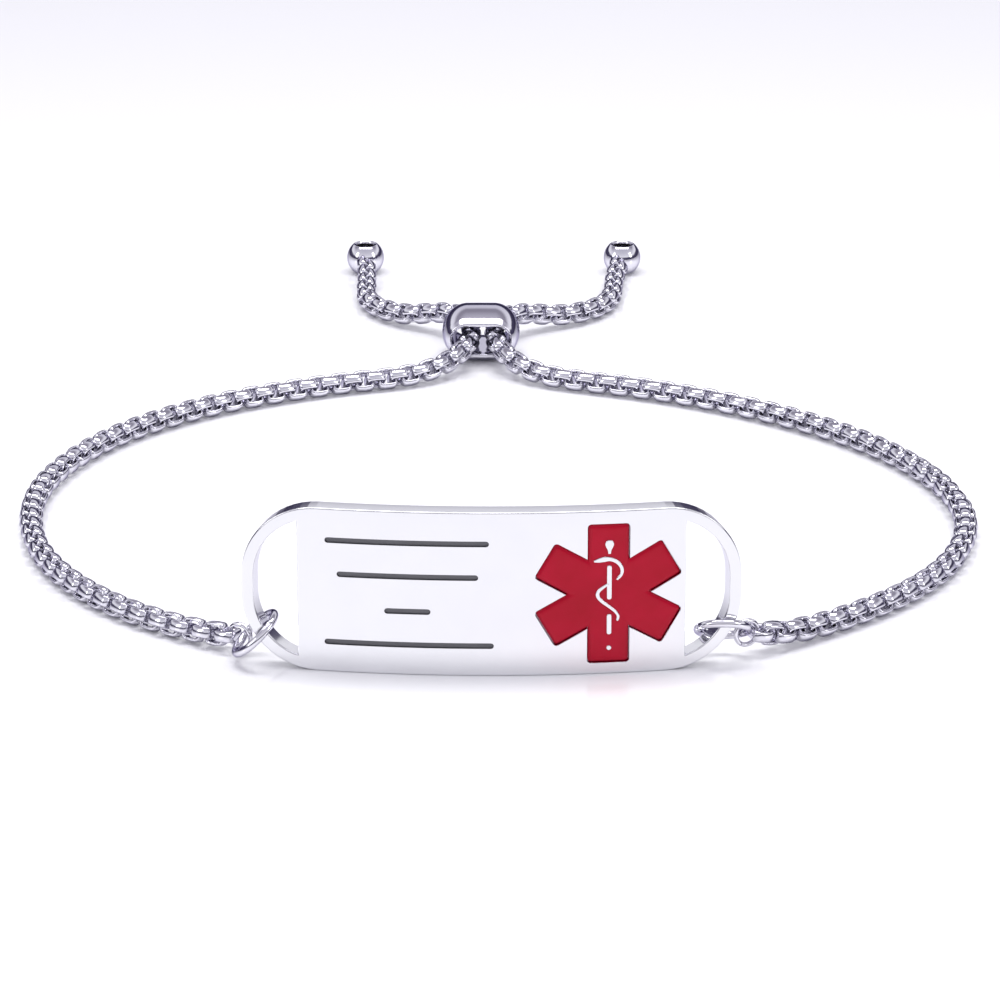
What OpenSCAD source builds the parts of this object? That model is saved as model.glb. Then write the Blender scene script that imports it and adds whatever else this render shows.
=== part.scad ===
/* [Plate] */
// Width of the plate from end to end, mm
plate_len = 42.1; // [40:0.1:44]
// Height of the plate, mm
plate_h = 14.6; // [14:0.1:16]
// Thickness of the plate, mm
plate_t = 1.7; // [1.4:0.1:2]
// Radius that the plate is bent to, mm
bend_r = 88; // [70:1:120]
// Radius of the plate's outer corners, mm
corner_r = 6.5; // [6:0.1:7]
// Width of the band of metal round each slot, mm
band_w = 1.05; // [0.9:0.05:1.2]
// Distance of a slot's straight edge from the plate's end, mm
slot_len = 4.75; // [4.5:0.05:5.2]

/* [Star] */
// Distance of the star's centre from the plate's end, mm
star_end = 11.25; // [11.1:0.05:12]
// Height of the star's centre, mm
star_z = 7.2; // [7:0.1:7.4]
// Length of one arm from the centre, mm
star_arm = 6.2; // [5.5:0.1:6.3]
// Width of one arm, mm
star_w = 3.56; // [3.3:0.02:3.7]
// Depth of the star recess, mm
star_depth = 0.5; // [0.4:0.05:0.7]

/* [Engraving] */
// Depth of the engraved lines, mm
line_depth = 0.15; // [0.1:0.05:0.3]
// Width of an engraved line, mm
line_w = 0.5; // [0.3:0.1:0.8]

/* [Rings] */
// Outer diameter of the left jump ring, mm
ring_left_d = 5.3; // [5.2:0.1:5.5]
// Outer diameter of the right jump ring, mm
ring_right_d = 5; // [4.9:0.1:5.2]
// Thickness of the jump rings' wire, mm
ring_wire = 0.7; // [0.6:0.02:0.72]
// Outer diameter of the small end rings, mm
end_ring_d = 2.54; // [2.5:0.02:2.6]
// Thickness of the end rings' wire, mm
end_wire = 0.4; // [0.34:0.02:0.42]

/* [Chain] */
// Thickness of the chain, mm
chain_d = 2.12; // [2.08:0.02:2.16]
// Distance from one link to the next, mm
link_pitch = 1.18; // [1.16:0.01:1.2]
// Thickness of a link's metal, mm
link_t = 0.34; // [0.3:0.01:0.35]
// Play between one link and the next, mm
link_gap = 0.21; // [0.19:0.01:0.23]

/* [Slider bead] */
// Height of the bead, mm
bead_h = 5.4; // [5.2:0.1:5.6]
// Width of the bead, mm
bead_w = 7.8; // [7.6:0.1:8.2]
// Length of the bead along the chain, mm
bead_len = 5.6; // [5:0.1:6]
// Height of the bead's bore, mm
bore_h = 2.9; // [2.8:0.1:3]
// Width of the bead's bore, mm
bore_w = 5.8; // [5.7:0.1:6]

/* [End balls] */
// Diameter of an end ball, mm
ball_d = 3.9; // [3.7:0.1:4.2]
// Diameter of the hole through an end ball, mm
ball_hole = 2; // [1.6:0.1:2.1]

/* [Hidden] */

$fn = 64;
// Clearance round and under the enamel
fit = 0.06;
// Where the middle of the outline lies, so that the part stands on its origin
centre = [0.4, 58.1, 0];

slot_x = plate_len / 2 - slot_len;
star_x = plate_len / 2 - star_end;
half_ang = asin(plate_len / 2 / bend_r);
end_ang = 11.5;
star_ang = asin(star_x / bend_r);
end_u = bend_r * sin(half_ang - end_ang);
arc_u = end_u - corner_r;
slot_u = bend_r * sin(asin(slot_x / bend_r) - end_ang);

// Field of the engraved lines, and its rows as shares: height, left end and right end
field = [-slot_x + 2.2, star_x - 9.6];
rows = [for (r = [[0.808, 0.007, 0.972], [0.603, 0.077, 0.909], [0.39, 0.357, 0.629], [0.185, 0, 1]])
    [r[0] * plate_h, field[0] + r[1] * (field[1] - field[0]), field[0] + r[2] * (field[1] - field[0])]];

// Staff pieces on the star: bottom, top and width
staff = [[3.6, 4.6, 0.68], [-0.5, 2.45, 0.42], [-3.7, -1.95, 0.42], [-5.25, -4.6, 0.5]];
// Serpent's middle line on the star, from head to tail
serpent = [
    [-0.9, 2.85], [-0.45, 3.1], [0.15, 3.15], [0.85, 2.75], [1.2, 2.0], [0.85, 1.25], [0, 0.7],
    [-0.65, 0.35], [-0.85, -0.15], [-0.55, -0.75], [0.1, -1.3], [0.65, -1.85], [0.85, -2.5],
];
// Half width of the serpent along its middle line
serpent_w = [[0, 0.18], [0.05, 0.3], [0.1, 0.28], [0.17, 0.2], [0.35, 0.22], [0.75, 0.2], [1, 0.07]];

// One link: length, width of its strip, and play at its sides
side_gap = 0.24;
link_len = link_pitch + 2 * link_t + link_gap;
link_w = chain_d - 2 * link_t - 2 * side_gap;
link_r = 0.52;

// An end ring holds a jump ring's wire on one side and the first link's bar on the other
end_in = end_ring_d / 2 - end_wire;
ring_to_wire = end_in - ring_wire / 2 - 0.15;
ring_to_bar = sqrt(pow(end_in - 0.11, 2) - pow(link_w / 2, 2)) - link_t / 2;
first_s = ring_to_bar + link_len / 2 - link_t / 2;

// Middle of the band round a slot, at an angle round the plate's lower corner
function band_at(side, a) = let (
    r = corner_r - band_w / 2,
    x = plate_len / 2 - corner_r + r * cos(a)
) [side * x, bend_r - sqrt(bend_r * bend_r - x * x) + plate_t / 2, corner_r - r * sin(a)];

// Jump rings: centre, turns that set the plane, and the way to the end ring
ring_left_c = band_at(-1, 35) + [-0.53, 0.15, -0.45];
ring_left_turn = [0, -44, 0];
ring_left_out = [-0.46, 0.77, -0.44];
ring_right_c = band_at(1, 33) + [0, 0.3, -0.35];
ring_right_turn = [-35, 0, 0];
ring_right_out = [0.82, 0.467, -0.327];
start_left = ring_left_c + (ring_left_d - ring_wire) / 2 * ring_left_out
    + ring_to_wire * [-0.86, 0.5, -0.1];
start_right = ring_right_c + (ring_right_d - ring_wire) / 2 * ring_right_out
    + ring_to_wire * [0.83, 0.52, -0.18];

ball_r = ball_d / 2;
ball_z = sqrt(ball_r * ball_r - ball_hole * ball_hole / 4);
socket_d = chain_d + 0.2;
socket_depth = 0.6;

// Points that the two chain halves follow, from the end ring to the end ball
rest_z = chain_d / 2 + 0.02;
route_left = [
    start_left, start_left + [-2.75, 1.67, -0.37], [-27.7, 9.2, rest_z], [-31.8, 12.6, rest_z], [-35.9, 17.5, rest_z],
    [-39.1, 23.2, rest_z], [-41.1, 29.2, rest_z], [-42.1, 35.6, rest_z], [-42.1, 42, rest_z],
    [-40.8, 48.3, rest_z], [-38.4, 54.2, rest_z], [-35.1, 59.6, rest_z], [-30.7, 64.4, rest_z],
    [-25.7, 68.5, rest_z], [-20, 71.7, rest_z], [-14.1, 74.3, rest_z], [-8.3, 75.8, rest_z],
    [-4.59, 78.41, 1.53], [-2.61, 81.72, 2.25], [-2.04, 84.75, 2.7], [-2.24, 87.11, 2.92],
    [-2.79, 89.07, 2.93], [-3.88, 91.2, 2.76], [-5.87, 93.39, 2.23], [-8.39, 94.81, 1.42],
    [-10.44, 96.33, 1.26],
    [-12.5, 99.1, rest_z], [-13.4, 102.9, rest_z], [-13.2, 107, rest_z], [-13.4, 110.6, 1.4],
    [-13.6, 114.2, ball_z],
];
route_right = [
    start_right, start_right + [3.07, 1.55, -0.73], [28.3, 8.9, rest_z], [31.9, 12, rest_z], [36.3, 16.6, rest_z],
    [39.8, 21.9, rest_z], [42.05, 27.8, rest_z], [43.2, 34, rest_z], [42.8, 40.3, rest_z],
    [41.1, 46.4, rest_z], [38.5, 52.1, rest_z], [34.8, 57.4, rest_z], [30.5, 62, rest_z],
    [25.6, 66.1, rest_z], [20.3, 69.6, rest_z], [14.6, 72.5, rest_z], [8.9, 74.5, rest_z],
    [4.36, 76.41, 1.13], [1.55, 79.44, 1.81], [0.36, 82.43, 2.39], [0.12, 84.72, 2.89],
    [0.12, 87.37, 2.85], [1.24, 90.52, 2.73], [3.57, 93.23, 2.2], [6.17, 94.67, 1.41],
    [8.81, 96.01, 1.22], [11.6, 99.2, rest_z],
    [12.6, 103.4, rest_z], [12.6, 107, rest_z], [13.1, 110.6, 1.4], [13.7, 114.2, ball_z],
];
// Turn of the links about the chain's run, by distance along it
roll_left = [[0, 0], [5, 22], [12, 28], [30, 27], [40, 20], [52, 12], [61, 42], [142, 45]];
roll_right = [[0, 0], [6, 38], [18, 52], [28, 60], [35, 82], [44, 94], [56, 132], [70, 140], [142, 140]];

// Bead: centre, tilt, half distance of its round ends and their barrel arc
bead_tilt = 3;
bead_off = (bead_w - bead_h) / 2;
bead_arc = 5.3;
bead_c = [-1.2, 85.6, bead_arc - (bead_arc - bead_h / 2) * cos(bead_tilt)];

// Smooth curve through a route, as a list of close points
function bspline(p, n) = let (
    q = concat([2 * p[0] - p[1]], p, [2 * p[len(p) - 1] - p[len(p) - 2]])
) [
    for (i = [0 : len(q) - 4]) for (k = [0 : n - 1]) let (t = k / n)
        (pow(1 - t, 3) * q[i] + (3 * pow(t, 3) - 6 * t * t + 4) * q[i + 1]
        + (3 * t + 3 * t * t - 3 * pow(t, 3) + 1) * q[i + 2] + pow(t, 3) * q[i + 3]) / 6,
    p[len(p) - 1],
];
// Length along the curve at each of its points
function lengths(d) = [
    for (i = 0, s = 0; i < len(d); s = s + (i < len(d) - 1 ? norm(d[i + 1] - d[i]) : 0), i = i + 1) s
];
// Table of one coordinate by length along the curve
function table(d, s, k) = [for (i = [0 : len(d) - 1]) [s[i], d[i][k]]];
function tables(d) = let (s = lengths(d)) [table(d, s, 0), table(d, s, 1), table(d, s, 2), s[len(s) - 1]];
function at(t, s) = [lookup(s, t[0]), lookup(s, t[1]), lookup(s, t[2])];
function dir(t, s) = let (v = at(t, s + 0.3) - at(t, s - 0.3)) v / norm(v);
function turn(v) = [0, -asin(v[2]), atan2(v[1], v[0])];

left = tables(bspline(route_left, 10));
right = tables(bspline(route_right, 10));

// Bent strip between two radii, over the given height and angles
module bent(r0, r1, z0, z1, a0, a1) {
    translate([0, bend_r, 0]) rotate([0, 0, a0 - 90]) rotate_extrude(angle = a1 - a0, $fn = 360)
        translate([r0, z0]) square([r1 - r0, z1 - z0]);
}

// Flat shape cut square through the plate, at an angle round the bend
module through(a) {
    translate([0, bend_r, 0]) rotate([0, 0, a]) translate([0, -bend_r, 0]) rotate([90, 0, 0])
        linear_extrude(7, center = true) children();
}

// Rounded end of the plate, or the slot's outline when inset
module end_shape(inset) {
    r = corner_r - inset;
    translate([-12, inset]) square([12 + arc_u, plate_h - 2 * inset]);
    translate([arc_u - 0.5, corner_r]) square([r + 0.5, plate_h - 2 * corner_r]);
    translate([arc_u, corner_r]) circle(r);
    translate([arc_u, plate_h - corner_r]) circle(r);
}

// What is cut away beyond the rounded end, a hair outside so that the arcs cross the flat edges
module beyond_end() {
    difference() {
        translate([arc_u - 1, -1]) square([12, plate_h + 2]);
        end_shape(-0.01);
    }
}

module slot_shape() {
    intersection() {
        end_shape(band_w);
        translate([slot_u, 0]) square([20, plate_h]);
    }
}

module star_shape(inset) {
    r = 0.3;
    hl = star_arm - inset;
    hw = star_w / 2 - inset;
    for (a = [30, 90, 150]) rotate(a) {
        square([2 * hl, 2 * (hw - r)], center = true);
        square([2 * (hl - r), 2 * hw], center = true);
        for (x = [-1, 1], y = [-1, 1]) translate([x * (hl - r), y * (hw - r)]) circle(r, $fn = 24);
    }
}

// Strip of varying width along the serpent's middle line
module serpent_shape(grow) {
    b = bspline(serpent, 4);
    m = len(b) - 1;
    v0 = b[1] - b[0];
    v1 = b[m] - b[m - 1];
    c = [for (i = [0 : m]) i == 0 ? b[0] - grow * v0 / norm(v0) : i == m ? b[m] + grow * v1 / norm(v1) : b[i]];
    side = [for (i = [0 : m]) let (
        v = c[min(m, i + 1)] - c[max(0, i - 1)],
        w = lookup(i / m, serpent_w) + grow
    ) w * [-v[1], v[0]] / norm(v)];
    polygon(concat([for (i = [0 : m]) c[i] + side[i]], [for (i = [m : -1 : 0]) c[i] - side[i]]));
}

module bar_shape(s, grow) {
    translate([-s[2] / 2 - grow, s[0] - grow]) square([s[2] + 2 * grow, s[1] - s[0] + 2 * grow]);
}

module id_plate() color([0.8, 0.8, 0.82]) {
    difference() {
        bent(bend_r - plate_t, bend_r, 0, plate_h, -half_ang - 1, half_ang + 1);
        through(end_ang) beyond_end();
        through(-end_ang) mirror([1, 0, 0]) beyond_end();
        through(end_ang) slot_shape();
        through(-end_ang) mirror([1, 0, 0]) slot_shape();
        for (r = rows) bent(bend_r - line_depth, bend_r + 1, r[0] - line_w / 2, r[0] + line_w / 2,
            asin(r[1] / bend_r), asin(r[2] / bend_r));
        intersection() {
            bent(bend_r - star_depth, bend_r + 1, 0.2, plate_h - 0.2, star_ang - 6, star_ang + 6);
            through(star_ang) translate([0, star_z]) difference() {
                star_shape(0);
                for (s = staff) bar_shape(s, 0);
                serpent_shape(0);
            }
        }
    }
}

module star_enamel() color([0.77, 0.1, 0.2]) difference() {
    intersection() {
        bent(bend_r - star_depth + fit, bend_r - 0.1, 0.2, plate_h - 0.2, star_ang - 6, star_ang + 6);
        through(star_ang) translate([0, star_z]) star_shape(fit);
    }
    for (s = staff) through(star_ang) translate([0, star_z]) bar_shape(s, fit);
    through(star_ang) translate([0, star_z]) serpent_shape(fit);
}

module wire_ring(d, wire) {
    rotate_extrude() translate([(d - wire) / 2, 0]) circle(wire / 2, $fn = 32);
}

module jump_ring_left() color([0.8, 0.8, 0.82])
    translate(ring_left_c) rotate(ring_left_turn) wire_ring(ring_left_d, ring_wire);

module jump_ring_right() color([0.8, 0.8, 0.82])
    translate(ring_right_c) rotate(ring_right_turn) wire_ring(ring_right_d, ring_wire);

module end_ring(t) {
    translate(at(t, 0)) rotate(turn(dir(t, 0.3))) rotate([90, 0, 0]) wire_ring(end_ring_d, end_wire);
}

module end_ring_left() color([0.78, 0.78, 0.8]) end_ring(left);

module end_ring_right() color([0.78, 0.78, 0.8]) end_ring(right);

// One box link: a folded strip, rounded off to the chain's outline
module link() {
    w = chain_d / 2;
    hx = link_len / 2;
    intersection() {
        difference() {
            linear_extrude(link_w, center = true) {
                square([2 * hx, 2 * (w - link_r)], center = true);
                square([2 * (hx - link_r), 2 * w], center = true);
                for (x = [-1, 1], y = [-1, 1]) translate([x * (hx - link_r), y * (w - link_r)])
                    circle(link_r, $fn = 24);
            }
            cube([link_len - 2 * link_t, chain_d - 2 * link_t, link_w + 1], center = true);
        }
        rotate([0, 90, 0]) cylinder(h = link_len + 1, r = w, center = true);
    }
}

module chain(t, roll) {
    span = t[3] - (ball_r - socket_depth) - 0.12 - link_len / 2 - first_s;
    n = round(span / link_pitch);
    for (i = [0 : n]) let (s = first_s + i * span / n)
        translate(at(t, s)) rotate(turn(dir(t, s)) + [lookup(s, roll) + 90 * (i % 2), 0, 0]) link();
}

module chain_left() color([0.72, 0.72, 0.74]) chain(left, roll_left);

module chain_right() color([0.72, 0.72, 0.74]) chain(right, roll_right);

module barrel_shape() {
    intersection() {
        translate([bead_h / 2 - bead_arc, 0]) circle(bead_arc, $fn = 128);
        translate([0, -bead_len / 2]) square([bead_h, bead_len]);
    }
}

module slider_bead() color([0.8, 0.8, 0.82])
    translate(bead_c) rotate([bead_tilt, 0, 0]) difference() {
        union() {
            for (s = [-1, 1]) translate([s * bead_off, 0, 0]) rotate([-90, 0, 0])
                rotate_extrude() barrel_shape();
            rotate([0, -90, 0]) linear_extrude(2 * bead_off, center = true) {
                barrel_shape();
                mirror([1, 0, 0]) barrel_shape();
            }
        }
        rotate([-90, 0, 0]) linear_extrude(bead_len + 2, center = true) {
            square([bore_w - bore_h, bore_h], center = true);
            for (s = [-1, 1]) translate([s * (bore_w - bore_h) / 2, 0]) circle(bore_h / 2);
        }
    }

module end_ball(t) {
    v = dir(t, t[3] - ball_r);
    translate(at(t, t[3])) difference() {
        sphere(ball_r);
        cylinder(h = ball_d + 1, r = ball_hole / 2, center = true);
        rotate(turn(v)) rotate([0, -90, 0]) translate([0, 0, ball_r - socket_depth])
            cylinder(h = 3, r = socket_d / 2);
    }
}

module end_ball_left() color([0.8, 0.8, 0.82]) end_ball(left);

module end_ball_right() color([0.8, 0.8, 0.82]) end_ball(right);

translate(-centre) {
    id_plate();
    star_enamel();
    jump_ring_left();
    jump_ring_right();
    end_ring_left();
    end_ring_right();
    chain_left();
    chain_right();
    slider_bead();
    end_ball_left();
    end_ball_right();
}
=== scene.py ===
import math
import bmesh
import bpy
from mathutils import Matrix, Vector


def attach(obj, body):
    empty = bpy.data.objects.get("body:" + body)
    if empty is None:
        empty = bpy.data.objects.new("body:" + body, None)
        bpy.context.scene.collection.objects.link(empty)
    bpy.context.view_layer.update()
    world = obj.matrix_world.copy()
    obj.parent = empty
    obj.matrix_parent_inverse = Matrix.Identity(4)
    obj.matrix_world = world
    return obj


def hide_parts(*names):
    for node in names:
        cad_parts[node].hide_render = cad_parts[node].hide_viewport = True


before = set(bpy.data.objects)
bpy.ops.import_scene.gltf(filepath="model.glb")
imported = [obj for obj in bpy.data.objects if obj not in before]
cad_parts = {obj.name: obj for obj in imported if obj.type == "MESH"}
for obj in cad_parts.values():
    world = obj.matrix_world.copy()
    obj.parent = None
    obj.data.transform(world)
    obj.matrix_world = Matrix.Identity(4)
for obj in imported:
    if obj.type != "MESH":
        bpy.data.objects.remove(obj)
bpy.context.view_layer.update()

# Identity plate: one strip of stainless steel, blanked with a D-shaped slot at each end,
# tumbled to soft edges, bent to the wrist and polished. The star is pressed in as a recess
# whose staff and serpent stay standing, and four rows are engraved beside it.
MM = 0.001
MIDDLE = Vector((0.4, 58.1, 0))
BEND_R = 88.0
PLATE_H = 14.6
PLATE_T = 1.7
PLATE_HALF = 21.05
HALF = BEND_R * math.asin(PLATE_HALF / BEND_R)
CORNER_R = 6.5
BAND = 1.05
SLOT_X = 16.3
SLOT_U = BEND_R * math.asin(SLOT_X / BEND_R)
STAR_X = 9.8
STAR_Z = 7.2
STAR_AT = Vector((BEND_R * math.asin(STAR_X / BEND_R), 0, STAR_Z))
STAR_ARM = 6.2
STAR_W = 3.56
STAR_DEPTH = 0.5
EMBLEM_ROOT = STAR_DEPTH + 0.05
LINE_W = 0.5
LINE_DEPTH = 0.15
ROWS = ((11.8, -14.0, -0.2), (8.8, -13.0, -1.1), (5.7, -9.0, -5.1), (2.7, -14.1, 0.2))
BEND_STEP = 0.7
STEEL_EDGE = (0.4, 0.38, 0.5)
PLATE_EDGE = (0.75, 0.74, 0.8)


def steel(name, tint, rough, grime=0.0, edge=STEEL_EDGE):
    mat = bpy.data.materials.new(name)
    mat.use_nodes = True
    n, l = mat.node_tree.nodes, mat.node_tree.links
    shader = n["Principled BSDF"]
    shader.inputs["Metallic"].default_value = 1.0
    shader.inputs["Specular Tint"].default_value = list(edge) + [1]
    where = n.new("ShaderNodeTexCoord")
    spread = n.new("ShaderNodeMapping")
    spread.inputs["Scale"].default_value = (260, 260, 260)
    cloud = n.new("ShaderNodeTexNoise")
    cloud.inputs["Scale"].default_value = 1.0
    cloud.inputs["Detail"].default_value = 4.0
    l.new(where.outputs["Object"], spread.inputs["Vector"])
    l.new(spread.outputs["Vector"], cloud.inputs["Vector"])
    shine = n.new("ShaderNodeMapRange")
    shine.inputs["To Min"].default_value = rough * 0.8
    shine.inputs["To Max"].default_value = rough * 1.25
    l.new(cloud.outputs["Fac"], shine.inputs["Value"])
    l.new(shine.outputs["Result"], shader.inputs["Roughness"])
    shade = n.new("ShaderNodeValToRGB")
    shade.color_ramp.elements[0].position = 0.3
    shade.color_ramp.elements[0].color = [c * (0.97 - grime) for c in tint] + [1]
    shade.color_ramp.elements[1].position = 0.7
    shade.color_ramp.elements[1].color = list(tint) + [1]
    l.new(cloud.outputs["Fac"], shade.inputs["Fac"])
    l.new(shade.outputs["Color"], shader.inputs["Base Color"])
    fine = n.new("ShaderNodeMapping")
    fine.inputs["Scale"].default_value = (900, 900, 900)
    grain = n.new("ShaderNodeTexNoise")
    grain.inputs["Detail"].default_value = 2.0
    bump = n.new("ShaderNodeBump")
    bump.inputs["Strength"].default_value = 0.03
    bump.inputs["Distance"].default_value = 0.00001
    l.new(where.outputs["Object"], fine.inputs["Vector"])
    l.new(fine.outputs["Vector"], grain.inputs["Vector"])
    l.new(grain.outputs["Fac"], bump.inputs["Height"])
    l.new(bump.outputs["Normal"], shader.inputs["Normal"])
    return mat


def finish_piece(name, bm, mats, node):
    mesh = bpy.data.meshes.new(name)
    bm.to_mesh(mesh)
    bm.free()
    for m in mats:
        mesh.materials.append(m)
    for p in mesh.polygons:
        p.use_smooth = True
    piece = bpy.data.objects.new(name, mesh)
    bpy.context.collection.objects.link(piece)
    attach(piece, "root")
    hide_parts(node)
    return piece


def arc(cx, cz, r, start, end, steps):
    turns = [math.radians(start + (end - start) * i / steps) for i in range(steps + 1)]
    return [(cx + r * math.cos(t), cz + r * math.sin(t)) for t in turns]


def slab(bm, outline, front, back):
    verts = [bm.verts.new((x, front, z)) for x, z in outline]
    face = bm.faces.new(verts)
    grown = bmesh.ops.extrude_face_region(bm, geom=[face])
    moved = [v for v in grown["geom"] if isinstance(v, bmesh.types.BMVert)]
    bmesh.ops.translate(bm, verts=moved, vec=(0, back - front, 0))


def bend(bm):
    low = min(v.co.x for v in bm.verts)
    high = max(v.co.x for v in bm.verts)
    x = math.ceil(low / BEND_STEP) * BEND_STEP
    while x < high - 0.05:
        geom = bm.verts[:] + bm.edges[:] + bm.faces[:]
        bmesh.ops.bisect_plane(bm, geom=geom, dist=1e-5, plane_co=(x, 0, 0), plane_no=(1, 0, 0))
        x += BEND_STEP
    bmesh.ops.recalc_face_normals(bm, faces=bm.faces)
    bm.normal_update()
    normals = []
    area = {f: f.calc_area() for f in bm.faces}
    for f in bm.faces:
        for v in f.verts:
            near = [g for g in v.link_faces if g.normal.dot(f.normal) > 0.6]
            flat = sum((g.normal * area[g] for g in near), Vector()).normalized()
            turn = Matrix.Rotation(v.co.x / BEND_R, 3, "Z")
            normals.append(turn @ flat)
    for v in bm.verts:
        a = v.co.x / BEND_R
        r = BEND_R - v.co.y
        v.co.x = r * math.sin(a)
        v.co.y = BEND_R - r * math.cos(a)
    return normals


def settle(bm, recalc=True):
    bmesh.ops.translate(bm, verts=bm.verts, vec=-MIDDLE)
    bmesh.ops.scale(bm, verts=bm.verts, vec=(MM, MM, MM))
    if recalc:
        bmesh.ops.recalc_face_normals(bm, faces=bm.faces)


def star_outline(inset, r):
    arm = STAR_ARM - inset
    half = STAR_W / 2 - inset
    notch = half / math.sin(math.radians(30))
    points = []
    for k in range(6):
        a = 30 + 60 * k
        turn = Matrix.Rotation(math.radians(a), 2)
        tip = arc(arm - r, -half + r, r, -90, 0, 3) + arc(arm - r, half - r, r, 0, 90, 3)
        for p in tip:
            points.append(turn @ Vector(p))
        points.append(Matrix.Rotation(math.radians(a + 30), 2) @ Vector((notch, 0)))
    return [(p[0] + STAR_AT.x, p[1] + STAR_AT.z) for p in points]


upper = arc(HALF - CORNER_R, PLATE_H - CORNER_R, CORNER_R, 0, 90, 14)
upper += [(-x, z) for x, z in reversed(upper)]
slot_top = math.degrees(math.acos((SLOT_U - HALF + CORNER_R) / (CORNER_R - BAND)))
inner = [(SLOT_U, PLATE_H / 2)]
inner += reversed(arc(HALF - CORNER_R, PLATE_H - CORNER_R, CORNER_R - BAND, 0, slot_top, 12))
inner += [(HALF - BAND, PLATE_H / 2), (HALF, PLATE_H / 2)]
upper_half = inner + upper + [(-x, z) for x, z in reversed(inner)]

bm = bmesh.new()
verts = [bm.verts.new((x, 0, z)) for x, z in upper_half]
bm.faces.new(verts)
mirrored = bmesh.ops.duplicate(bm, geom=bm.faces[:])
flip = [v for v in mirrored["geom"] if isinstance(v, bmesh.types.BMVert)]
for v in flip:
    v.co.z = PLATE_H - v.co.z
bmesh.ops.remove_doubles(bm, verts=bm.verts, dist=1e-4)
bmesh.ops.recalc_face_normals(bm, faces=bm.faces)
grown = bmesh.ops.extrude_face_region(bm, geom=bm.faces[:], use_keep_orig=True)
moved = [v for v in grown["geom"] if isinstance(v, bmesh.types.BMVert)]
bmesh.ops.translate(bm, verts=moved, vec=(0, PLATE_T, 0))
bmesh.ops.recalc_face_normals(bm, faces=bm.faces)
blank = bpy.data.meshes.new("blank")
bm.to_mesh(blank)
bm.free()
blank_object = bpy.data.objects.new("blank", blank)
bpy.context.collection.objects.link(blank_object)

cutter = bmesh.new()
slab(cutter, star_outline(0.0, 0.3), -1.0, STAR_DEPTH)
for z, x0, x1 in ROWS:
    r = LINE_W / 2
    slab(cutter, arc(x0 + r, z, r, 90, 270, 6) + arc(x1 - r, z, r, 270, 450, 6), -1.0, LINE_DEPTH)
bmesh.ops.recalc_face_normals(cutter, faces=cutter.faces)
cut_mesh = bpy.data.meshes.new("cut")
cutter.to_mesh(cut_mesh)
cutter.free()
cut_object = bpy.data.objects.new("cut", cut_mesh)
bpy.context.collection.objects.link(cut_object)
pressed = blank_object.modifiers.new("Pressed", "BOOLEAN")
pressed.operation = "DIFFERENCE"
pressed.solver = "EXACT"
pressed.object = cut_object
shaped = blank_object.evaluated_get(bpy.context.evaluated_depsgraph_get())
bm = bmesh.new()
bm.from_mesh(shaped.to_mesh())
bpy.data.objects.remove(blank_object)
bpy.data.objects.remove(cut_object)

bmesh.ops.remove_doubles(bm, verts=bm.verts, dist=1e-4)


def on_rim(e, y):
    if any(abs(v.co.y - y) > 1e-4 for v in e.verts) or len(e.link_faces) != 2:
        return False
    return e.calc_face_angle(0) > 1.0


def in_star(e):
    reach = STAR_ARM + 0.2
    return all(abs(v.co.x - STAR_AT.x) < reach and abs(v.co.z - STAR_AT.z) < reach for v in e.verts)


def in_row(p, height):
    return any(abs(p.z - z) < height and x0 - 0.1 < p.x < x1 + 0.1 for z, x0, x1 in ROWS)


rim = [e for e in bm.edges if on_rim(e, 0) and in_star(e)]
bmesh.ops.bevel(bm, geom=rim, offset=0.05, affect="EDGES", segments=2, profile=0.5, material=-1)
rim = [e for e in bm.edges if (on_rim(e, 0) or on_rim(e, PLATE_T)) and not in_star(e)]
rim = [e for e in rim if not any(in_row(v.co, LINE_W / 2 + 0.05) for v in e.verts)]
bmesh.ops.bevel(bm, geom=rim, offset=0.13, affect="EDGES", segments=3, profile=0.5, material=-1)
for f in bm.faces:
    c = f.calc_center_median()
    if in_row(c, LINE_W / 2 + 0.01) and 0.01 < c.y < LINE_DEPTH + 0.05:
        f.material_index = 1

POST_X = 0.06
DOT_Z = -4.88
DOT_R = 0.22
POSTS = ((-0.55, 2.52, 0.41), (-3.68, -1.84, 0.41))
KNOB = (
    (-0.12, 4.76), (-0.28, 4.68), (-0.37, 4.52), (-0.37, 4.34), (-0.3, 4.12), (-0.18, 3.9),
    (-0.14, 3.72), (-0.12, 3.53),
)
HEAD_END = (
    (-1.25, 2.9), (-0.8, 2.97), (-0.25, 3.1), (0.25, 3.06), (0.72, 2.82), (1.08, 2.4), (1.17, 1.95),
    (1.04, 1.56), (0.68, 1.2),
)
HEAD_THICK = ((0, 0.08), (0.12, 0.2), (0.22, 0.24), (0.34, 0.18), (0.6, 0.16), (0.92, 0.13), (1, 0.08))
TAIL_END = (
    (0.05, 0.9), (-0.25, 0.7), (-0.6, 0.47), (-0.86, 0.24), (-0.97, -0.06), (-0.84, -0.4),
    (-0.5, -0.75), (-0.1, -1.06), (0.4, -1.46), (0.76, -1.82), (0.86, -2.15), (0.73, -2.48),
)
TAIL_THICK = ((0, 0.1), (0.15, 0.14), (0.4, 0.17), (0.6, 0.14), (0.95, 0.12), (1, 0.08))


def spline(points, steps):
    p = [Vector(q) for q in points]
    p = [2 * p[0] - p[1]] + p + [2 * p[-1] - p[-2]]
    out = []
    for a, b, c, d in zip(p, p[1:], p[2:], p[3:]):
        for k in range(steps):
            t = k / steps
            w = ((1 - t) ** 3, 3 * t ** 3 - 6 * t * t + 4, 3 * t + 3 * t * t - 3 * t ** 3 + 1, t ** 3)
            out.append((a * w[0] + b * w[1] + c * w[2] + d * w[3]) / 6)
    return out + [p[-2]]


def between(table, x):
    for (x0, y0), (x1, y1) in zip(table, table[1:]):
        if x <= x1:
            return y0 + (y1 - y0) * (x - x0) / (x1 - x0)
    return table[-1][1]


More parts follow.
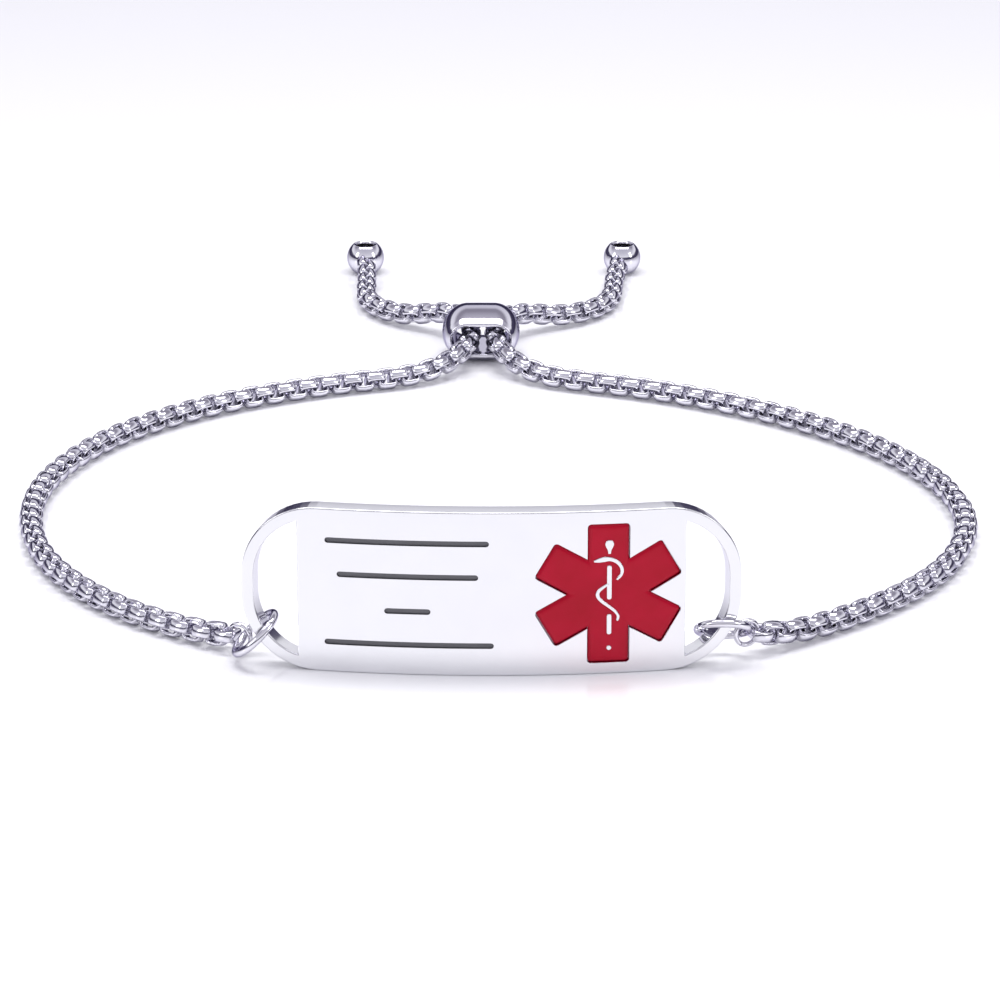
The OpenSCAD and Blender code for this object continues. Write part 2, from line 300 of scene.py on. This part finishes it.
emblem = bmesh.new()
for points, thick in ((HEAD_END, HEAD_THICK), (TAIL_END, TAIL_THICK)):
    path = spline(points, 5)
    last = len(path) - 1
    edge_a, edge_b = [], []
    for i, p in enumerate(path):
        d = path[min(last, i + 1)] - path[max(0, i - 1)]
        off = Vector((-d.y, d.x)).normalized() * between(thick, i / last)
        edge_a.append(p + off)
        edge_b.insert(0, p - off)
    slab(emblem, [(q.x + STAR_AT.x, q.y + STAR_AT.z) for q in edge_a + edge_b], 0.0, EMBLEM_ROOT)
shapes = [list(KNOB) + [(-x, z) for x, z in reversed(KNOB)], arc(0, DOT_Z, DOT_R, 0, 330, 11)]
for z0, z1, w in POSTS:
    r = w / 2 - 0.03
    post = arc(w / 2 - r, z1 - r, r, 0, 90, 3) + arc(r - w / 2, z1 - r, r, 90, 180, 3)
    post += arc(r - w / 2, z0 + r, r, 180, 270, 3) + arc(w / 2 - r, z0 + r, r, 270, 360, 3)
    shapes.append(post)
for shape in shapes:
    moved = [(x + STAR_AT.x + POST_X, z + STAR_AT.z) for x, z in shape]
    slab(emblem, moved, 0.0, EMBLEM_ROOT)
rim = [e for e in emblem.edges if on_rim(e, 0)]
bmesh.ops.bevel(emblem, geom=rim, offset=0.06, affect="EDGES", segments=3, profile=0.5, material=-1)
raised = bpy.data.meshes.new("raised")
emblem.to_mesh(raised)
emblem.free()
bm.from_mesh(raised)
normals = bend(bm)
settle(bm, recalc=False)
plate_steel = steel("Polished plate steel", (0.8, 0.8, 0.82), 0.13, edge=PLATE_EDGE)
engraving = steel("Laser engraving", (0.17, 0.17, 0.18), 0.5)
plate = finish_piece("id_plate_polished", bm, [plate_steel, engraving], "id_plate")
plate.data.normals_split_custom_set(normals)

# Star enamel: red enamel flooded into the recess round the staff and serpent and cured,
# so it swells softly like a cushion and sinks below the steel along its border.
bm = bmesh.new()
CUSHION = (
    (0.04, 0.28, STAR_DEPTH - 0.04), (0.04, 0.28, 0.3), (0.09, 0.26, 0.22), (0.2, 0.22, 0.15),
    (0.38, 0.17, 0.11), (0.65, 0.1, 0.1),
)
rings = []
for inset, r, y in CUSHION:
    rings.append([bm.verts.new((x, y, z)) for x, z in star_outline(inset, r)])
for a, b in zip(rings, rings[1:]):
    for i, j in enumerate(list(range(1, len(a))) + [0]):
        bm.faces.new((a[i], a[j], b[j], b[i]))
bm.faces.new(rings[0])
bm.faces.new(rings[-1])
normals = bend(bm)
settle(bm, recalc=False)
enamel = bpy.data.materials.new("Red enamel")
enamel.use_nodes = True
n, l = enamel.node_tree.nodes, enamel.node_tree.links
shader = n["Principled BSDF"]
where = n.new("ShaderNodeTexCoord")
cloud = n.new("ShaderNodeTexNoise")
cloud.inputs["Scale"].default_value = 320
cloud.inputs["Detail"].default_value = 3
ramp = n.new("ShaderNodeValToRGB")
ramp.color_ramp.elements[0].position = 0.3
ramp.color_ramp.elements[0].color = (0.45, 0.002, 0.019, 1)
ramp.color_ramp.elements[1].position = 0.7
ramp.color_ramp.elements[1].color = (0.53, 0.003, 0.028, 1)
swell = n.new("ShaderNodeBump")
swell.inputs["Strength"].default_value = 0.15
swell.inputs["Distance"].default_value = 0.00004
l.new(where.outputs["Object"], cloud.inputs["Vector"])
l.new(cloud.outputs["Fac"], ramp.inputs["Fac"])
l.new(ramp.outputs["Color"], shader.inputs["Base Color"])
l.new(cloud.outputs["Fac"], swell.inputs["Height"])
l.new(swell.outputs["Normal"], shader.inputs["Normal"])
shader.inputs["Roughness"].default_value = 0.25
shader.inputs["IOR"].default_value = 1.28
star = finish_piece("star_enamel_cured", bm, [enamel], "star_enamel")
star.data.normals_split_custom_set(normals)

# Jump rings: round stainless wire wound on a mandrel, sawn into single rings and closed, so each
# has a fine butt joint. They pass through the plate's slots and carry the chains' end rings.
JOINT = 0.03
RING_WIRE = 0.7
RING_LEFT_D = 5.3
RING_RIGHT_D = 5.0


def wire_ring(bm, centre, basis, d, wire, cut_at):
    start = len(bm.verts)
    r = (d - wire) / 2
    made = bmesh.ops.create_circle(bm, cap_ends=False, segments=20, radius=wire / 2)
    ring = made["verts"]
    turn = Matrix.Rotation(math.radians(90), 4, "X")
    bmesh.ops.transform(bm, matrix=Matrix.Translation((r, 0, 0)) @ turn, verts=ring)
    edges = list({e for v in ring for e in v.link_edges})
    caps = 2 * JOINT / r
    spun = bmesh.ops.spin(
        bm, geom=ring + edges, cent=(0, 0, 0), axis=(0, 0, 1), angle=2 * math.pi - caps, steps=72,
        use_merge=False, use_duplicate=False)
    end_edges = [e for e in spun["geom_last"] if isinstance(e, bmesh.types.BMEdge)]
    bmesh.ops.contextual_create(bm, geom=edges)
    bmesh.ops.contextual_create(bm, geom=end_edges)
    bm.verts.ensure_lookup_table()
    new = bm.verts[start:]
    place = Matrix.Translation(centre) @ basis @ Matrix.Rotation(math.radians(cut_at), 4, "Z")
    bmesh.ops.transform(bm, matrix=place, verts=new)


def euler(x, y, z):
    turns = [Matrix.Rotation(math.radians(a), 4, k) for a, k in ((z, "Z"), (y, "Y"), (x, "X"))]
    return turns[0] @ turns[1] @ turns[2]


def band_at(side, a):
    r = CORNER_R - BAND / 2
    x = PLATE_HALF - CORNER_R + r * math.cos(math.radians(a))
    y = BEND_R - math.sqrt(BEND_R * BEND_R - x * x) + PLATE_T / 2
    return Vector((side * x, y, CORNER_R - r * math.sin(math.radians(a))))


ring_steel = steel("Polished ring wire", (0.76, 0.75, 0.8), 0.11)
LEFT_AT = band_at(-1, 35) + Vector((-0.53, 0.15, -0.45))
RIGHT_AT = band_at(1, 33) + Vector((0, 0.3, -0.35))
for name, centre, basis, d, cut in (
    ("left", LEFT_AT, euler(0, -44, 0), RING_LEFT_D, 60),
    ("right", RIGHT_AT, euler(-35, 0, 0), RING_RIGHT_D, 205),
):
    bm = bmesh.new()
    wire_ring(bm, centre, basis, d, RING_WIRE, cut)
    settle(bm)
    finish_piece("jump_ring_%s_wire" % name, bm, [ring_steel], "jump_ring_" + name)

# Box chain: each link is a steel strip folded to a box and soldered shut, alternate links turned
# a quarter, then the whole chain is rolled round. Each half starts with a small end ring of wire
# and runs through the bead to its end ball.
CHAIN_D = 2.12
PITCH = 1.18
LINK_T = 0.34
LINK_GAP = 0.21
LINK_LEN = PITCH + 2 * LINK_T + LINK_GAP
LINK_W = CHAIN_D - 2 * LINK_T - 0.48
LINK_FOLD_R = 0.52
REST_Z = CHAIN_D / 2 + 0.02
END_RING_D = 2.54
END_WIRE = 0.4
END_IN = END_RING_D / 2 - END_WIRE
TO_WIRE = END_IN - RING_WIRE / 2 - 0.15
TO_BAR = math.sqrt((END_IN - 0.11) ** 2 - (LINK_W / 2) ** 2) - LINK_T / 2
FIRST = TO_BAR + LINK_LEN / 2 - LINK_T / 2
START_LEFT = LEFT_AT + (RING_LEFT_D - RING_WIRE) / 2 * Vector((-0.46, 0.77, -0.44))
START_LEFT = START_LEFT + TO_WIRE * Vector((-0.86, 0.5, -0.1))
START_RIGHT = RIGHT_AT + (RING_RIGHT_D - RING_WIRE) / 2 * Vector((0.82, 0.467, -0.327))
START_RIGHT = START_RIGHT + TO_WIRE * Vector((0.83, 0.52, -0.18))
BALL_R = 1.95
HOLE_R = 1.0
BALL_Z = math.sqrt(BALL_R ** 2 - HOLE_R ** 2)
BALL_BITE = 0.6
BALL_GAP = 0.12
ROUTE_LEFT = [START_LEFT, (-24.1, 6.8, 1.2)] + [(x, y, REST_Z) for x, y in (
    (-27.7, 9.2), (-31.8, 12.6), (-35.9, 17.5), (-39.1, 23.2), (-41.1, 29.2), (-42.1, 35.6),
    (-42.1, 42), (-40.8, 48.3), (-38.4, 54.2), (-35.1, 59.6), (-30.7, 64.4), (-25.7, 68.5),
    (-20, 71.7), (-14.1, 74.3), (-8.3, 75.8))] + [
    (-4.59, 78.41, 1.53), (-2.61, 81.72, 2.25), (-2.04, 84.75, 2.7), (-2.24, 87.11, 2.92),
    (-2.79, 89.07, 2.93), (-3.88, 91.2, 2.76), (-5.87, 93.39, 2.23), (-8.39, 94.81, 1.42),
    (-10.44, 96.33, 1.26),
    (-12.5, 99.1, REST_Z), (-13.4, 102.9, REST_Z), (-13.2, 107, REST_Z), (-13.4, 110.6, 1.4),
    (-13.6, 114.2, BALL_Z)]
ROUTE_RIGHT = [START_RIGHT, (24.7, 6.1, 1.4)] + [(x, y, REST_Z) for x, y in (
    (28.3, 8.9), (31.9, 12), (36.3, 16.6), (39.8, 21.9), (42.05, 27.8), (43.2, 34), (42.8, 40.3),
    (41.1, 46.4), (38.5, 52.1), (34.8, 57.4), (30.5, 62), (25.6, 66.1), (20.3, 69.6),
    (14.6, 72.5), (8.9, 74.5))] + [
    (4.36, 76.41, 1.13), (1.55, 79.44, 1.81), (0.36, 82.43, 2.39), (0.12, 84.72, 2.89),
    (0.12, 87.37, 2.85), (1.24, 90.52, 2.73), (3.57, 93.23, 2.2), (6.17, 94.67, 1.41),
    (8.81, 96.01, 1.22), (11.6, 99.2, REST_Z),
    (12.6, 103.4, REST_Z), (12.6, 107, REST_Z), (13.1, 110.6, 1.4), (13.7, 114.2, BALL_Z)]
ROLL_LEFT = ((0, 0), (5, 22), (12, 28), (30, 27), (40, 20), (52, 12), (61, 42), (142, 45))
ROLL_RIGHT = (
    (0, 0), (6, 38), (18, 52), (28, 60), (35, 82), (44, 94), (56, 132), (70, 140), (142, 140))


class Run:
    def __init__(self, points):
        self.p = spline(points, 10)
        self.s = [0.0]
        for a, b in zip(self.p, self.p[1:]):
            self.s.append(self.s[-1] + (b - a).length)

    def at(self, s):
        s = min(max(s, 0), self.s[-1])
        i = next(k for k in range(len(self.s) - 1) if s <= self.s[k + 1])
        t = (s - self.s[i]) / (self.s[i + 1] - self.s[i])
        return self.p[i].lerp(self.p[i + 1], t)

    def turned(self, s, roll=0.0):
        v = (self.at(s + 0.3) - self.at(s - 0.3)).normalized()
        return euler(roll, -math.degrees(math.asin(v.z)), math.degrees(math.atan2(v.y, v.x)))


def folded_link():
    def outline(inset):
        x, y, r = LINK_LEN / 2 - LINK_FOLD_R, CHAIN_D / 2 - LINK_FOLD_R, LINK_FOLD_R - inset
        ring = arc(x, y, r, 0, 90, 3) + [(0, y + r + 0.03)] + arc(-x, y, r, 90, 180, 3)
        return ring + [(-a, -b) for a, b in ring]

    bm = bmesh.new()
    w = LINK_W / 2
    rings = []
    for z, inset in (
        (-w, 0.2), (0.1 - w, 0.07), (0, 0.03), (w - 0.1, 0.07), (w, 0.2), (w, LINK_T), (-w, LINK_T),
    ):
        rings.append([bm.verts.new((x, y, z)) for x, y in outline(inset)])
    for a, b in zip(rings, rings[1:] + rings[:1]):
        for k in range(len(a)):
            bm.faces.new((a[k - 1], a[k], b[k], b[k - 1]))
    bmesh.ops.recalc_face_normals(bm, faces=bm.faces)
    mesh = bpy.data.meshes.new("link")
    bm.to_mesh(mesh)
    bm.free()
    return mesh


chain_steel = steel("Rolled chain steel", (0.74, 0.73, 0.79), 0.13, grime=0.05)
link = folded_link()
for name, points, roll in (("left", ROUTE_LEFT, ROLL_LEFT), ("right", ROUTE_RIGHT, ROLL_RIGHT)):
    run = Run(points)
    span = run.s[-1] - (BALL_R - BALL_BITE) - BALL_GAP - LINK_LEN / 2 - FIRST
    count = round(span / PITCH)
    bm = bmesh.new()
    for i in range(count + 1):
        s = FIRST + i * span / count
        start = len(bm.verts)
        bm.from_mesh(link)
        bm.verts.ensure_lookup_table()
        place = Matrix.Translation(run.at(s)) @ run.turned(s, between(roll, s) + 90 * (i % 2))
        bmesh.ops.transform(bm, matrix=place, verts=bm.verts[start:])
    settle(bm, recalc=False)
    piece = finish_piece("chain_%s_links" % name, bm, [chain_steel], "chain_" + name)
    even = piece.modifiers.new("Even shading", "WEIGHTED_NORMAL")
    even.keep_sharp = True
    even.weight = 100
    bm = bmesh.new()
    upright = run.turned(0.3) @ euler(90, 0, 0)
    wire_ring(bm, run.at(0), upright, END_RING_D, END_WIRE, 250)
    settle(bm)
    finish_piece("end_ring_%s_wire" % name, bm, [ring_steel], "end_ring_" + name)

# Sliding bead: an oval steel bead turned barrel-shaped and polished, with one wide bore that
# grips both chains, so the wearer pulls the tails through it to tighten the loop.
BEAD_TILT = 3
BEAD_ARC = 5.3
ARC_IN = 2.6
BEAD_C = Vector((-1.2, 85.6, BEAD_ARC - ARC_IN * math.cos(math.radians(BEAD_TILT))))
BEAD_OFF = 1.2
BEAD_L = 5.6
BEAD_EDGE = 0.22
LIP_R = 0.14
BORE_W = 5.8
BORE_H = 2.9
BORE_R = 1.45
BORE_OFF = (BORE_W - BORE_H) / 2
bead_steel = steel("Mirror-polished bead steel", (0.74, 0.73, 0.79), 0.09)


def barrel(a):
    return -ARC_IN + math.sqrt(BEAD_ARC ** 2 - a * a)


bm = bmesh.new()
rim_r = barrel(BEAD_L / 2)
outer = [(barrel(a), a) for a in [-2.45 + 4.9 * i / 16 for i in range(17)]]
tip = arc(rim_r - BEAD_EDGE, BEAD_L / 2 - BEAD_EDGE, BEAD_EDGE, 10, 90, 4)
lip = arc(BORE_R + LIP_R, BEAD_L / 2 - LIP_R, LIP_R, 90, 180, 3)
bore = [(BORE_R, a) for a in (1.6, 0.0, -1.6)]
half_loop = outer + tip + lip + bore
half_loop += [(r, -a) for r, a in reversed(lip)] + [(r, -a) for r, a in reversed(tip)]
profile = [bm.verts.new((r, a, 0)) for r, a in half_loop]
loop = [bm.edges.new((a, b)) for a, b in zip(profile, profile[1:] + profile[:1])]
bmesh.ops.spin(
    bm, geom=profile + loop, cent=(0, 0, 0), axis=(0, 1, 0), angle=2 * math.pi, steps=64,
    use_merge=True, use_duplicate=False)
for v in bm.verts:
    r = math.hypot(v.co.x, v.co.z)
    share = min(1.0, max(0.0, (r - BORE_R) / 1.25))
    off = BORE_OFF + (BEAD_OFF - BORE_OFF) * share
    if v.co.x > 1e-4:
        v.co.x += off
    elif v.co.x < -1e-4:
        v.co.x -= off
bmesh.ops.transform(bm, matrix=Matrix.Translation(BEAD_C) @ euler(BEAD_TILT, 0, 0), verts=bm.verts)
settle(bm)
finish_piece("slider_bead_polished", bm, [bead_steel], "slider_bead")

# End balls: steel balls drilled right through, pressed over the last link of each tail so that
# it can't slip back through the bead. The drilled hole stands upright, its upper lip rounded.
for name, route in (("left", ROUTE_LEFT), ("right", ROUTE_RIGHT)):
    bm = bmesh.new()
    outer = arc(0, 0, BALL_R, -55.5, 47, 20)
    lip = [(1.27, 1.465), (1.19, 1.485), (1.1, 1.46), (1.04, 1.39), (1.005, 1.28), (HOLE_R, 1.15)]
    foot = [(HOLE_R, -1.5), (HOLE_R + 0.03, -1.6)]
    points = outer + lip + [(HOLE_R, 0.5), (HOLE_R, -0.5)] + foot
    profile = [bm.verts.new((r, 0, z)) for r, z in points]
    loop = [bm.edges.new((a, b)) for a, b in zip(profile, profile[1:] + profile[:1])]
    bmesh.ops.spin(
        bm, geom=profile + loop, cent=(0, 0, 0), axis=(0, 0, 1), angle=2 * math.pi, steps=64,
        use_merge=True, use_duplicate=False)
    bmesh.ops.translate(bm, verts=bm.verts, vec=route[-1])
    settle(bm)
    finish_piece("end_ball_%s_polished" % name, bm, [bead_steel], "end_ball_" + name)

# Floor, light and camera: a sheet of white gloss acrylic in a pale studio whose walls stay dark
# low down, lit by two soft boxes side by side overhead and a paler one at each side.
floor_mesh = bpy.data.meshes.new("floor")
bm = bmesh.new()
bmesh.ops.create_grid(bm, x_segments=1, y_segments=1, size=3.0)
bm.to_mesh(floor_mesh)
bm.free()
floor = bpy.data.objects.new("floor", floor_mesh)
bpy.context.collection.objects.link(floor)
acrylic = bpy.data.materials.new("White gloss acrylic")
acrylic.use_nodes = True
shader = acrylic.node_tree.nodes["Principled BSDF"]
shader.inputs["Base Color"].default_value = (0.93, 0.93, 0.94, 1)
shader.inputs["Roughness"].default_value = 0.12
shader.inputs["IOR"].default_value = 1.4
floor_mesh.materials.append(acrylic)

world = bpy.data.worlds.new("Studio surround")
bpy.context.scene.world = world
world.use_nodes = True
n, l = world.node_tree.nodes, world.node_tree.links
back = n["Background"]
where = n.new("ShaderNodeTexCoord")
split = n.new("ShaderNodeSeparateXYZ")
rise = n.new("ShaderNodeMapRange")
rise.inputs["From Min"].default_value = -1.0
depth = n.new("ShaderNodeMapRange")
depth.inputs["From Min"].default_value = -0.2
depth.inputs["From Max"].default_value = 0.25
both = n.new("ShaderNodeMix")
both.data_type = "RGBA"
l.new(where.outputs["Generated"], split.inputs["Vector"])
l.new(split.outputs["Z"], rise.inputs["Value"])
l.new(split.outputs["Y"], depth.inputs["Value"])
l.new(depth.outputs["Result"], both.inputs[0])
FRONT_STOPS = (
    (0.49, (0.06, 0.05, 0.10)), (0.60, (0.10, 0.09, 0.16)), (0.645, (1.20, 1.20, 1.25)),
    (0.74, (0.95, 0.94, 1.03)), (0.86, (0.80, 0.79, 0.88)), (1.0, (0.70, 0.68, 0.80)),
)
BACK_STOPS = (
    (0.49, (0.06, 0.05, 0.10)), (0.64, (0.10, 0.09, 0.16)), (0.668, (1.25, 1.25, 1.30)),
    (0.76, (1.05, 1.04, 1.12)), (0.83, (0.40, 0.38, 0.46)), (0.88, (0.40, 0.38, 0.46)),
    (1.0, (0.75, 0.73, 0.84)),
)
for socket, stops in ((both.inputs[6], FRONT_STOPS), (both.inputs[7], BACK_STOPS)):
    bands = n.new("ShaderNodeValToRGB")
    while len(bands.color_ramp.elements) < len(stops):
        bands.color_ramp.elements.new(0.95)
    for stop, (at, shade) in zip(bands.color_ramp.elements, stops):
        stop.position = at
        stop.color = list(shade) + [1]
    l.new(rise.outputs["Result"], bands.inputs["Fac"])
    l.new(bands.outputs["Color"], socket)
l.new(both.outputs[2], back.inputs["Color"])
back.inputs["Strength"].default_value = 0.85


TOP_BOX = (0.2, 0.3)
TOP_RADIANCE = 5.6
SIDE_BOX = (0.15, 0.3)
SIDE_RADIANCE = 2.5


def soft_light(name, at, size, radiance):
    lamp = bpy.data.lights.new(name, "AREA")
    lamp.shape = "RECTANGLE"
    lamp.size, lamp.size_y = size
    lamp.energy = math.pi * radiance * size[0] * size[1]
    box = bpy.data.objects.new(name, lamp)
    bpy.context.collection.objects.link(box)
    box.location = at
    box.rotation_euler = (-Vector(at)).to_track_quat("-Z", "Y").to_euler()


soft_light("Top left box", (-0.13, 0.04, 0.5), TOP_BOX, TOP_RADIANCE)
soft_light("Top right box", (0.13, 0.04, 0.5), TOP_BOX, TOP_RADIANCE)
soft_light("Left box", (-0.5, -0.25, 0.25), SIDE_BOX, SIDE_RADIANCE)
soft_light("Right box", (0.5, -0.25, 0.25), SIDE_BOX, SIDE_RADIANCE)

camera = bpy.data.objects.new("camera", bpy.data.cameras.new("camera"))
bpy.context.collection.objects.link(camera)
camera.data.lens = 171.36
camera.data.sensor_width = 36
camera.data.clip_start = 0.01
camera.location = (0.000314, -0.428919, 0.150706)
camera.rotation_euler = (math.radians(70), 0, 0)
bpy.context.scene.camera = camera
bpy.context.scene.view_settings.view_transform = "Standard"
